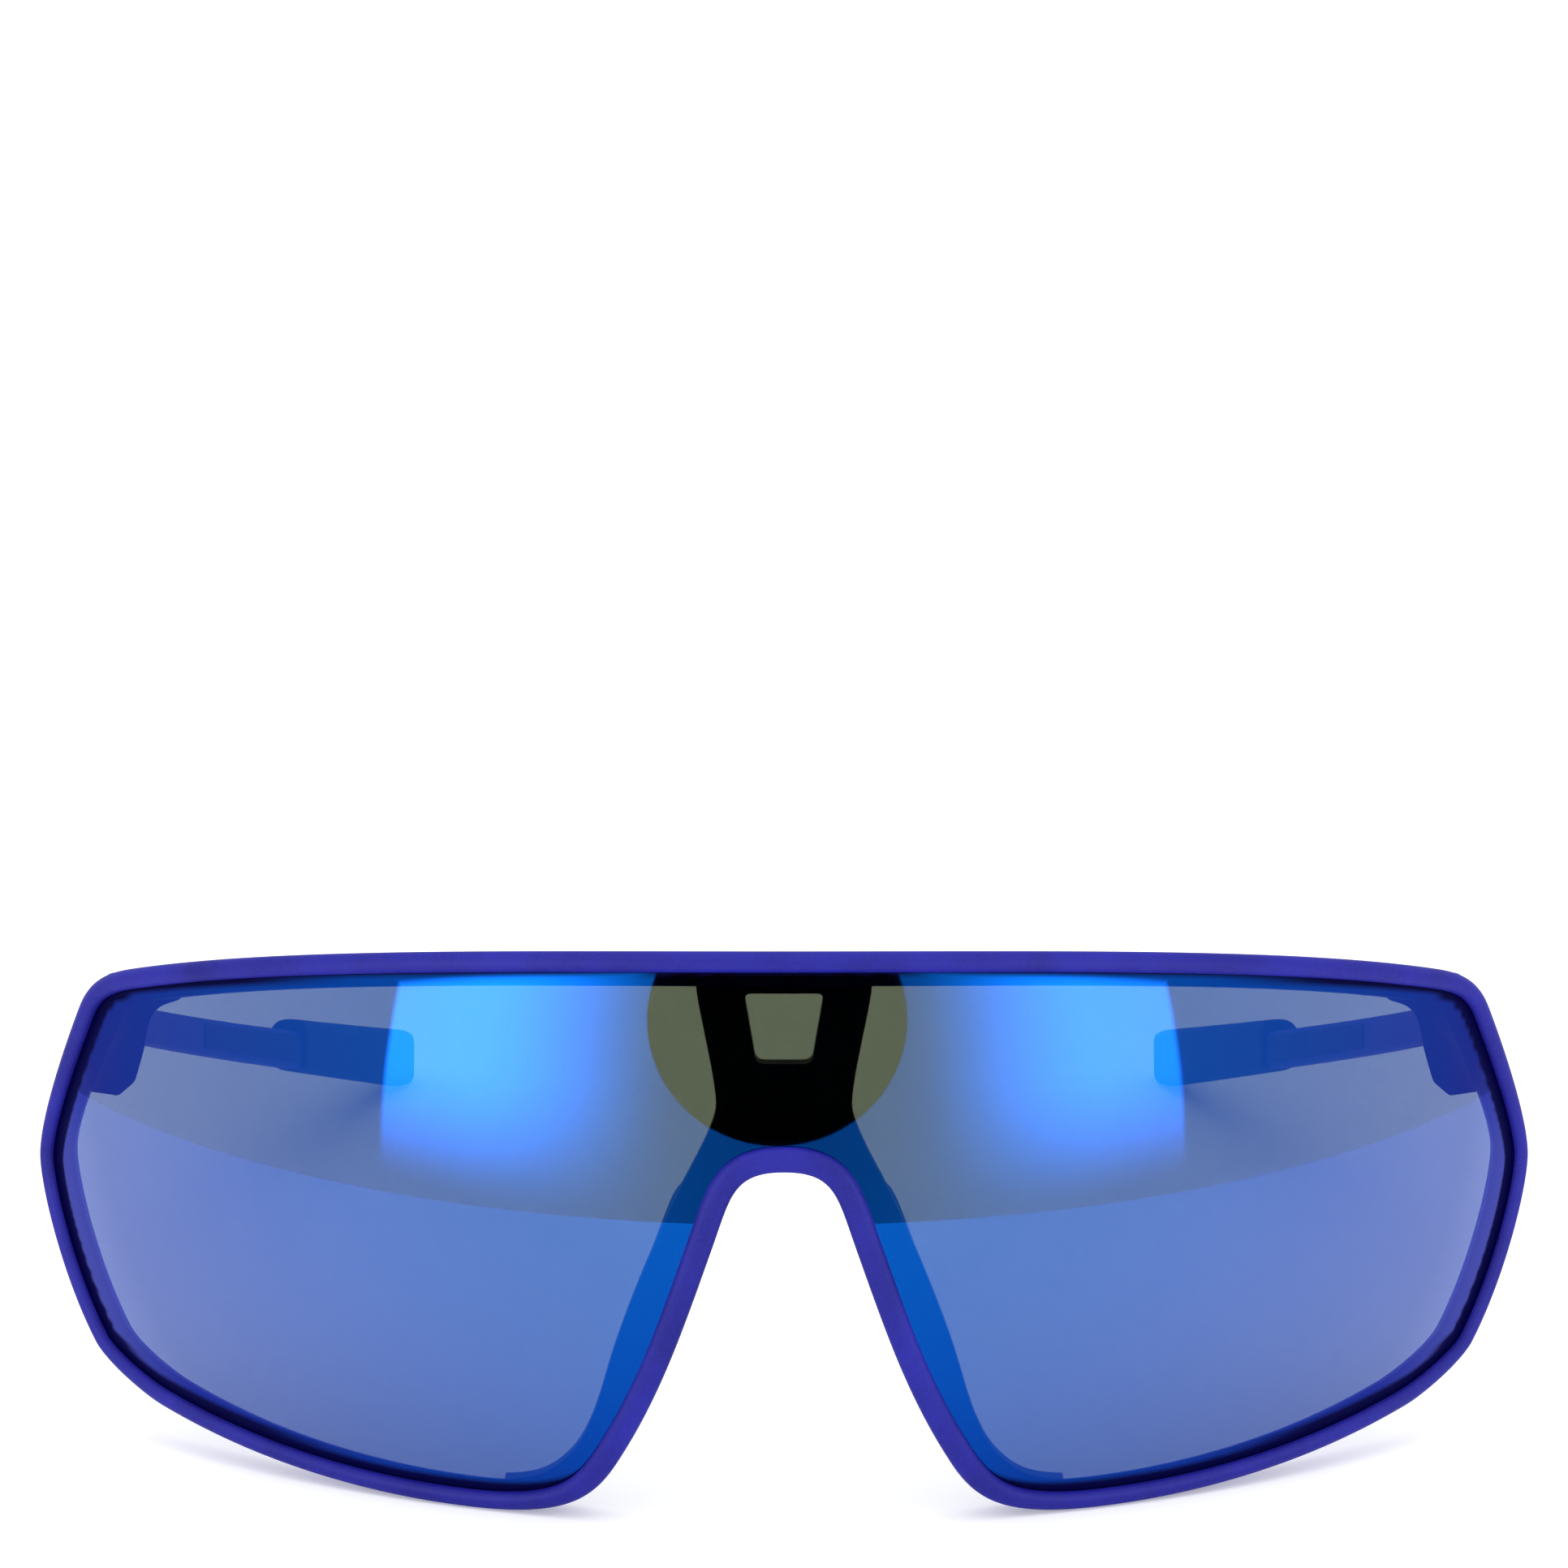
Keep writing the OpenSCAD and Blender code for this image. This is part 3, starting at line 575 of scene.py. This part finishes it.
def from_arm(points, sign=1):
    """Turns points of the left arm's frame about X and moves them to the hinge.

    y' = y cos + z sin and z' = z cos - y sin; sign -1 mirrors them for the right side.
    """
    x, y, z = points[..., 0], points[..., 1], points[..., 2]
    turned = stack(x, y * lean_cos + z * lean_sin, z * lean_cos - y * lean_sin)
    return (hinge_at + turned) * [sign, 1, 1]


def to_arm(points):
    """The other way, from the left side's place into the left arm's frame."""
    x, y, z = np.moveaxis(points - hinge_at, -1, 0)
    return stack(x, y * lean_cos - z * lean_sin, z * lean_cos + y * lean_sin)


root_h, root_t, root_in = 9.4, 3.6, 0.2
pocket_r, root_gap = 1.8, 0.25
# Its corners at the hinge, and where they end on the back of the rim, given as x, z.
block_back = np.array([
    (1, -0.5), (1, 0.13), (0.68, 0.32), (0.35, 0.49), (0, 0.5), (0, 0.25), (0, 0), (0, -0.25), (0, -0.5),
]) * [root_t, root_h] + [root_in, 0]
block_front = np.array([
    (68.9, 31.6), (65.3, 40.0), (60.4, 44.0), (55.8, 45.6), (56.2, 43.3),
    (59.7, 41.6), (60.5, 37.6), (61.5, 34.4), (63.3, 32.6),
])
front_place = to_arm(on_sphere(block_front, lens_r - back - seat_gap))
run = np.concatenate([[0, 0.02, 0.045, 0.08, 0.12, 0.16, 0.2], np.linspace(0.26, 1, 22)])
spread = eased((run - 0.12) / 0.88)[:, None, None] ** 1.3
block_xz = block_back * (1 - spread) + front_place[:, [0, 2]] * spread
block_y = -root_gap * (1 - run[:, None]) + front_place[:, 1] * run[:, None]
block_corners = np.stack([block_xz[..., 0], block_y, block_xz[..., 1]], -1)
block_rings = rounded(block_corners, [1.0, 2.0, 1.6, 1.0, 1.2, 2.0, 1.0, 0.5, 0.4], 6)
# The back face has a small chamfer, and the pocket is a cylinder about the hinge axis.
chamfer = np.array([0.93, 0.98] + [1] * (len(run) - 2))[:, None, None]
ring_middle = block_rings.mean(1, keepdims=True)
block_rings = ring_middle + (block_rings - ring_middle) * (1 + [1, 0, 1] * (chamfer - 1))


def clear_of_barrel(points):
    """Keeps points outside the pocket: x is at least sqrt(r^2 - y^2)."""
    x, y = points[..., 0], points[..., 1]
    least = np.sqrt(np.maximum(pocket_r**2 - y**2, 0))
    kept = points.copy()
    kept[..., 0] = np.where(np.abs(y) < pocket_r, np.maximum(x, least), x)
    return kept


block_rings = clear_of_barrel(block_rings)
for side, sign in (("left", 1), ("right", -1)):
    block = add_piece(f"hinge_block_{side}", *loft(from_arm(block_rings, sign)), frame_finish)
    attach(block, "front")
    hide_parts(f"end_block_{side}")

# ---- Arms ------------------------------------------------------------------------------
# Each arm is a slim moulding in the frame's plastic: a tall root at the hinge, a flare
# that thins it, a bowed bar with a domed outer side, and a core that the sleeve grips.

arm_len, sleeve_len, flare_len = 118.0, 41.0, 12.0
arm_slim, arm_rear, arm_t = 3.3, 4.2, 3.2
sleeve_from = arm_len - sleeve_len
inlay_from, inlay_t = 39.0, 0.8
arm_mid = root_in + root_t / 2
sleeve_t, sleeve_wall, sleeve_rise, tip_solid = 4.4, 1.1, 0.6, 8.0
bow_depth, bow_power = 19.9, 1.6
root_rise, root_slant = 0.4, 1.8


def bow(s):
    """Sideways place of the arm's middle line: m - depth (s / L)^power."""
    return arm_mid - bow_depth * (np.maximum(s, 0) / arm_len) ** bow_power


def flare(s):
    """How much of the root's size is left at s: 1 at the hinge, easing to 0."""
    return 1 - eased(s / flare_len)


def arm_height(s):
    """Height of the arm: the flare from the root's to the bar's, which grows to the sleeve."""
    bar = arm_slim + (arm_rear - arm_slim) * s / sleeve_from
    return bar + (root_h - bar) * flare(s)


def arm_lift(s):
    """How far the arm's middle lies above the hinge's."""
    return root_rise * (1 - flare(s))


def bar_rings(s, x0, x1, z, h, edge, dome, slant=0.0):
    """Sections across the arm at s: a box from x0 to x1, h high, with its outer side domed.

    The outer side slopes in by slant towards its top.
    """
    corners = [
        (x0, -0.5), (x1 - dome, -0.5), (x1, -0.17), (x1, 0.15), (x1 - dome - slant, 0.5), (x0, 0.5),
    ]
    flat = np.stack([stack(cx + 0 * s, s, z + cz * h) for cx, cz in corners], 1)
    return rounded(flat, [edge * 0.7, edge, edge * 1.4, edge * 1.4, edge, edge * 0.7], 6)


root_s = np.array([0.15, 0.3, 0.5, 0.8, 1.1, 1.4, 1.7, 1.9])
bar_s = np.concatenate([
    root_s, np.linspace(2.4, flare_len + 4, 24), np.linspace(18, sleeve_from - 0.1, 40),
])
thick = arm_t + (root_t - arm_t) * flare(bar_s)
bar = bar_rings(
    bar_s, bow(bar_s) - thick / 2, bow(bar_s) + thick / 2, arm_lift(bar_s), arm_height(bar_s),
    edge=0.9, dome=0.45, slant=root_slant * flare(bar_s),
)
bar_middle = bar.mean(1, keepdims=True)
bar_chamfer = np.concatenate([[0.93, 0.98], np.ones(len(bar_s) - 2)])[:, None, None]
bar = bar_middle + (bar - bar_middle) * (1 + [1, 0, 1] * (bar_chamfer - 1))
bar = clear_of_barrel(bar)
core_s = np.linspace(sleeve_from, arm_len - tip_solid, 30)
core_half = sleeve_t / 2 - sleeve_wall
core_h = arm_slim - 0.5 + 0 * core_s
core = bar_rings(
    core_s, bow(core_s) - core_half, bow(core_s) + core_half, arm_lift(core_s) + sleeve_rise, core_h,
    edge=0.5, dome=0.1,
)
arm_rings = np.concatenate([bar, core])
for side, sign in (("left", 1), ("right", -1)):
    arm = add_piece(f"arm_{side}_bar", *loft(from_arm(arm_rings, sign)), frame_finish)
    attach(arm, f"arm_{side}")
    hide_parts(f"temple_{side}")

# ---- Arm inlays ------------------------------------------------------------------------
# A strip of soft rubber is moulded into the inner side of each arm, ahead of the sleeve.

inlay_s = np.concatenate([
    inlay_from + 0.2 + np.array([0, 0.06, 0.2, 0.45, 0.8]),
    np.linspace(inlay_from + 1.6, sleeve_from - 1.8, 40),
    sleeve_from - 0.3 - np.array([0.8, 0.45, 0.2, 0.06, 0]),
])
ends_in = np.minimum(inlay_s - inlay_s[0], inlay_s[-1] - inlay_s)
tuck = np.sqrt(1 - np.clip(1 - ends_in / 0.9, 0, 1) ** 2) * 0.85 + 0.15
inlay_x = bow(inlay_s) - arm_t / 2
inlay_out, inlay_margin = 0.16, 0.55
inlay_h = (arm_height(inlay_s) - 2 * inlay_margin) * (0.7 + 0.3 * tuck)
inlay_rings = bar_rings(
    inlay_s, inlay_x - inlay_out * tuck, inlay_x + inlay_t, arm_lift(inlay_s), inlay_h,
    edge=0.3, dome=0.0,
)
rubber_finish = moulded(
    "black_grip_rubber", deep=(0.003, 0.003, 0.010), pale=(0.010, 0.011, 0.026),
    roughness=0.66, sheen=0.32, grain=0.45, grain_depth=0.03,
)
for side, sign in (("left", 1), ("right", -1)):
    inlay = add_piece(f"arm_{side}_inlay", *loft(from_arm(inlay_rings, sign)), rubber_finish)
    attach(inlay, f"arm_{side}")
    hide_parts(f"temple_inlay_{side}")

# ---- Ear sleeves -----------------------------------------------------------------------
# A rubber sleeve is pulled over each arm's core. It starts in a rounded step, grows
# slowly towards the ear, and ends in a solid round tip.

tip_round = 3.0
sleeve_front_h, sleeve_rear_h = 5.8, 6.8


def sleeve_rings(s, size):
    """Sections of the sleeve at s, shrunk to size of their full height and thickness."""
    h = sleeve_front_h + (sleeve_rear_h - sleeve_front_h) * (s - sleeve_from) / (sleeve_len - tip_round)
    half_t = sleeve_t / 2 * size
    z = arm_lift(s) + sleeve_rise
    corners = [
        (-1, -0.42), (-0.4, -0.5), (0.5, -0.5), (1, -0.3), (1, 0.3), (0.5, 0.5), (-0.4, 0.5), (-1, 0.42),
    ]
    flat = np.stack([stack(bow(s) + cx * half_t, s, z + cz * h * size) for cx, cz in corners], 1)
    return rounded(flat, [0.8, 0.8, 1.2, 1.4, 1.4, 1.2, 0.8, 0.8], 5)


step_a = np.radians(np.linspace(0, 90, 7))
step_s = sleeve_from + 0.7 * (1 - np.sin(step_a))[::-1]
step_size = (1 - 0.13 * (1 - np.cos(step_a)))[::-1]
tip_a = np.radians(np.array([12, 25, 37, 48, 58, 67, 75, 82, 87]))
sleeve_s = np.concatenate([
    step_s, np.linspace(sleeve_from + 1.5, arm_len - tip_round, 50),
    arm_len - tip_round * (1 - np.sin(tip_a)),
])
sleeve_size = np.concatenate([step_size, np.ones(50), np.cos(tip_a)])
outer = sleeve_rings(sleeve_s, sleeve_size)
for side, sign in (("left", 1), ("right", -1)):
    sleeve = add_piece(f"ear_sleeve_{side}", *loft(from_arm(outer, sign)), rubber_finish)
    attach(sleeve, f"arm_{side}")
    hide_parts(f"tip_sleeve_{side}")

# ---- Hinges and wires ------------------------------------------------------------------
# Stamped steel leaves with rolled knuckles are set in the plastic on both sides of each
# axis, a slotted screw pins them, and a spring wire stiffens each arm's tip.


def satin_steel():
    """Steel with fine scratches: a noise stretched along the axis dulls and lights it."""
    made = bpy.data.materials.new("satin_steel")
    made.use_nodes = True
    nodes, links = made.node_tree.nodes, made.node_tree.links
    shader = nodes["Principled BSDF"]
    shader.inputs["Metallic"].default_value = 1
    place = nodes.new("ShaderNodeTexCoord")
    stretch = nodes.new("ShaderNodeMapping")
    stretch.inputs["Scale"].default_value = (1, 1, 0.12)
    scratch = nodes.new("ShaderNodeTexNoise")
    scratch.inputs["Scale"].default_value = 6000
    scratch.inputs["Detail"].default_value = 4
    tone = nodes.new("ShaderNodeValToRGB")
    tone.color_ramp.elements[0].color = (0.36, 0.37, 0.39, 1)
    tone.color_ramp.elements[1].color = (0.66, 0.67, 0.69, 1)
    dull = nodes.new("ShaderNodeMapRange")
    dull.inputs["To Min"].default_value = 0.22
    dull.inputs["To Max"].default_value = 0.42
    relief = nodes.new("ShaderNodeBump")
    relief.inputs["Strength"].default_value = 0.3
    relief.inputs["Distance"].default_value = 0.01 * MM
    links.new(place.outputs["Object"], stretch.inputs["Vector"])
    links.new(stretch.outputs["Vector"], scratch.inputs["Vector"])
    links.new(scratch.outputs["Fac"], tone.inputs["Fac"])
    links.new(scratch.outputs["Fac"], dull.inputs["Value"])
    links.new(scratch.outputs["Fac"], relief.inputs["Height"])
    links.new(tone.outputs["Color"], shader.inputs["Base Color"])
    links.new(dull.outputs["Result"], shader.inputs["Roughness"])
    links.new(relief.outputs["Normal"], shader.inputs["Normal"])
    return made


steel = satin_steel()
for side in ("left", "right"):
    for kind in ("front_leaf", "temple_leaf", "hinge_screw", "tip_wire"):
        node = frame["nodes"][f"{kind}_{side}"]
        node.data.materials.clear()
        node.data.materials.append(steel)

# ---- Table, light and camera -----------------------------------------------------------
# The pair stands on a plain white table in an even white studio. A dim wall and two
# softboxes stand where only reflections see them, and the mirror shows them.

scene = bpy.context.scene
scene.view_settings.view_transform = "Standard"


def plain(name, colour, light=0.0):
    """A plain matte surface of a colour, which also glows white where light is above 0."""
    made = bpy.data.materials.new(name)
    made.use_nodes = True
    shader = made.node_tree.nodes["Principled BSDF"]
    shader.inputs["Base Color"].default_value = (*colour, 1)
    shader.inputs["Roughness"].default_value = 0.9
    shader.inputs["Specular IOR Level"].default_value = 0
    shader.inputs["Emission Color"].default_value = (1, 1, 1, 1)
    shader.inputs["Emission Strength"].default_value = light
    return made


def add_card(name, points, faces, finish, table=False):
    """A flat or bent sheet of the studio, in metres; all but the table only show in reflections."""
    mesh = bpy.data.meshes.new(name)
    mesh.from_pydata(np.asarray(points).reshape(-1, 3), [], faces)
    mesh.materials.append(finish)
    card = bpy.data.objects.new(name, mesh)
    scene.collection.objects.link(card)
    if not table:
        card.visible_camera = False
        card.visible_diffuse = False
        card.visible_transmission = False
        card.visible_shadow = False
        card.visible_volume_scatter = False
    return card


table = add_card("table", [(-3, -3, 0), (3, -3, 0), (3, 3, 0), (-3, 3, 0)], [(0, 1, 2, 3)],
                 plain("white_table", (0.92, 0.92, 0.92), 0.28), table=True)
table.visible_glossy = False

# Reflections see the table end in an arc ahead of the pair.
front_y_m = cad_low.y
turn = np.radians(np.linspace(-115, 115, 60))
arc_r, arc_back, over_table = 0.295, 0.135, 0.0001
arc = stack(arc_r * np.sin(turn), front_y_m + arc_back - arc_r * np.cos(turn), over_table + 0 * turn)
arc = np.vstack([arc, [(0.4, 0.6, over_table), (-0.4, 0.6, over_table)]])
table_top = plain("white_table_top", (0.92, 0.92, 0.92))
add_card("table_in_reflections", arc, [tuple(range(len(arc)))], table_top)

# Beyond it stands a dim grey room.
room_r, room_low, room_high = 1.5, -2.0, 4.0
room_foot = stack(room_r * np.sin(turn), front_y_m - room_r * np.cos(turn), room_low + 0 * turn)
room = np.stack([room_foot, room_foot + [0, 0, room_high - room_low]], 1)
room_faces = [(2 * i, 2 * i + 1, 2 * i + 3, 2 * i + 2) for i in range(len(turn) - 1)]
add_card("dim_room", room, room_faces, plain("grey_room", (0, 0, 0), 0.80))


def glowing(name, strength):
    """A sheet of light that fades out where its points' value glow falls to 0."""
    made = bpy.data.materials.new(name)
    made.use_nodes = True
    nodes, links = made.node_tree.nodes, made.node_tree.links
    glow = nodes.new("ShaderNodeAttribute")
    glow.attribute_name = "glow"
    lit = nodes.new("ShaderNodeEmission")
    lit.inputs["Color"].default_value = (1, 1, 1, 1)
    lit.inputs["Strength"].default_value = strength
    clear = nodes.new("ShaderNodeBsdfTransparent")
    fade = nodes.new("ShaderNodeMixShader")
    links.new(glow.outputs["Fac"], fade.inputs["Fac"])
    links.new(clear.outputs["BSDF"], fade.inputs[1])
    links.new(lit.outputs["Emission"], fade.inputs[2])
    links.new(fade.outputs["Shader"], nodes["Material Output"].inputs["Surface"])
    return made


# Two softboxes stand at the sides, brightest away from the middle, and the room is darker
# between them. Each fades over a share of its width from x0 and from x1, and over a share of
# its height from its foot and from its top.
sheet_steps = 33
for name, x0, x1, z0, z1, ahead, strength, fades in (
    ("softbox_left", -0.110, -0.607, -0.07, 0.235, 0.450, 5.0, (0.62, 0.03, 0.60, 0.05)),
    ("softbox_right", 0.130, 0.600, -0.07, 0.235, 0.450, 4.2, (0.62, 0.03, 0.60, 0.05)),
    ("dark_middle", -0.33, 0.33, -0.6, 1.2, 0.460, 0.42, (0.45, 0.45, 0.1, 0.1)),
):
    across, up = np.meshgrid(np.linspace(0, 1, sheet_steps), np.linspace(0, 1, sheet_steps))
    sheet = stack(x0 + (x1 - x0) * across, 0 * up + front_y_m - ahead, z0 + (z1 - z0) * up)
    cells = skin(sheet_steps, sheet_steps, loop=False)
    cells = cells[np.arange(len(cells)) % sheet_steps < sheet_steps - 1].tolist()
    panel = add_card(name, sheet, cells, glowing(name, strength))
    glow = panel.data.attributes.new("glow", "FLOAT", "POINT")
    fall = eased(across / fades[0]) * eased((1 - across) / fades[1])
    fall = fall * eased(up / fades[2]) * eased((1 - up) / fades[3])
    glow.data.foreach_set("value", fall.astype(np.float32).ravel())

# The camera's dark front hangs between them.
cloth_x, cloth_z, cloth_r, cloth_ahead = -0.008, 0.180, 0.147, 0.449
cloth_sides = 64
round_turn = np.linspace(0, 2 * np.pi, cloth_sides + 1)[:-1]
cloth = stack(
    cloth_x + cloth_r * np.cos(round_turn), 0 * round_turn + front_y_m - cloth_ahead,
    cloth_z + cloth_r * np.sin(round_turn),
)
add_card("dark_camera_front", cloth, [tuple(range(cloth_sides))], plain("dark_cloth", (0, 0, 0)))

world = bpy.data.worlds.new("white_studio")
scene.world = world
world.use_nodes = True
world.node_tree.nodes["Background"].inputs["Color"].default_value = (1, 1, 1, 1)
world.node_tree.nodes["Background"].inputs["Strength"].default_value = 1.0


def add_lamp(name, place, aim, size, power):
    """A square soft light at a place, turned to face aim, in metres and watts."""
    lamp = bpy.data.lights.new(name, "AREA")
    lamp.size = size
    lamp.energy = power
    holder = bpy.data.objects.new(name, lamp)
    holder.location = place
    way = Vector(aim) - Vector(place)
    holder.rotation_euler = way.to_track_quat("-Z", "Y").to_euler()
    scene.collection.objects.link(holder)
    holder.visible_camera = False
    holder.visible_glossy = False


add_lamp("top_softbox", (0, -0.1, 0.9), (0, 0, 0), 0.9, 3.0)

camera_ahead, camera_up, camera_tilt = 0.42773, 0.16115, 77.92
camera_data = bpy.data.cameras.new("camera")
camera_data.sensor_width = 36
camera_data.lens = 114.9
camera = bpy.data.objects.new("camera", camera_data)
camera.location = (0, front_y_m - camera_ahead, camera_up)
camera.rotation_euler = (np.radians(camera_tilt), 0, 0)
scene.collection.objects.link(camera)
scene.camera = camera
